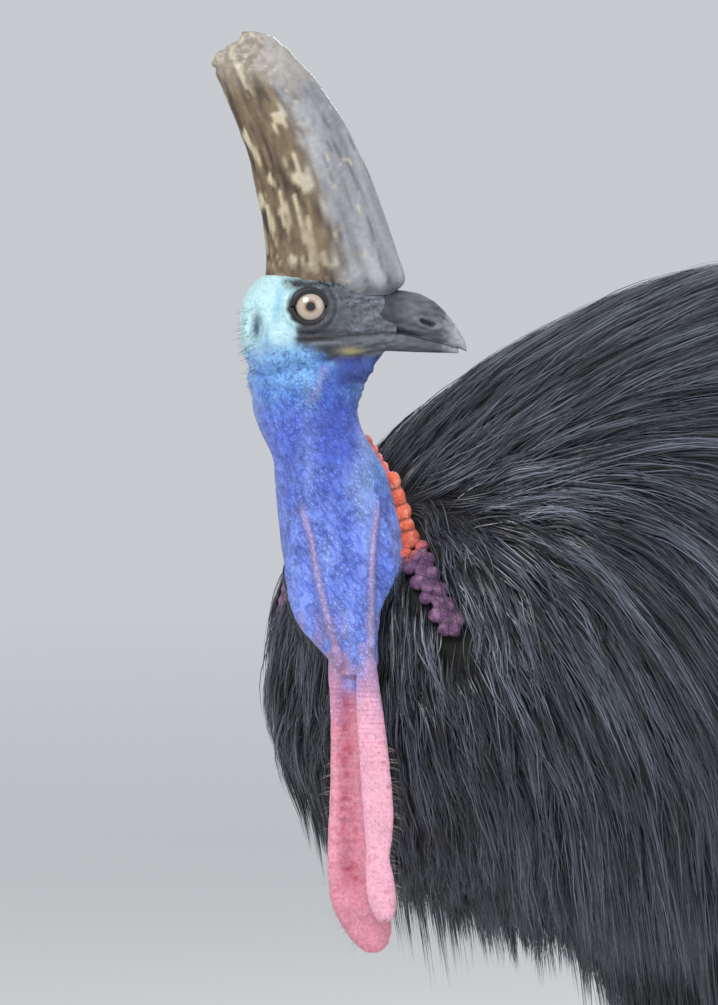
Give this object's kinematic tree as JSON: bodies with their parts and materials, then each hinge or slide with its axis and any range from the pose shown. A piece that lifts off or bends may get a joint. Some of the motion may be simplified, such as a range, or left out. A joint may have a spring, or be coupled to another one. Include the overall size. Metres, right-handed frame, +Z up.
{
  "type": "cassowary figure",
  "caption": "Still, life-size southern cassowary that stands on both feet and looks back over its left shoulder.",
  "frame": {"origin": "on the floor, under the middle of the bird's box", "axes": "+Z up; -Y is the way the body faces; +X is the bird's left"},
  "size_m": [0.4892, 0.945, 1.25],
  "materials": {
    "blue_skin": "soft wrinkled skin",
    "wattle_skin": "soft pebbled skin",
    "caruncle_skin": "soft beaded skin with a slight sheen",
    "plumage": "coarse hair-like feathers with a soft gloss",
    "eye": "wet and glossy",
    "casque_horn": "worn horn, scuffed to bare fibre at the top",
    "bill_horn": "dull dark horn",
    "claw_horn": "dull dark horn",
    "leg_scale": "dry scaly skin"
  },
  "bodies": {
    "root": {"head": "blue_skin", "casque": "casque_horn", "bill_upper": "bill_horn", "bill_lower": "bill_horn", "eye_left": "eye", "eye_right": "eye", "neck_upper": "blue_skin", "neck_lower": "blue_skin", "wattle_left": "wattle_skin", "wattle_right": "wattle_skin", "caruncles_left": "caruncle_skin", "caruncles_right": "caruncle_skin", "nape_caruncles": "caruncle_skin", "torso": "plumage", "tail": "plumage", "wing_left": "plumage", "wing_right": "plumage", "thigh_left": "plumage", "thigh_right": "plumage", "shank_left": "leg_scale", "shank_right": "leg_scale", "toe_inner_left": "leg_scale", "toe_middle_left": "leg_scale", "toe_outer_left": "leg_scale", "toe_inner_right": "leg_scale", "toe_middle_right": "leg_scale", "toe_outer_right": "leg_scale", "claw_inner_left": "claw_horn", "claw_middle_left": "claw_horn", "claw_outer_left": "claw_horn", "claw_inner_right": "claw_horn", "claw_middle_right": "claw_horn", "claw_outer_right": "claw_horn"}
  },
  "joints": []
}
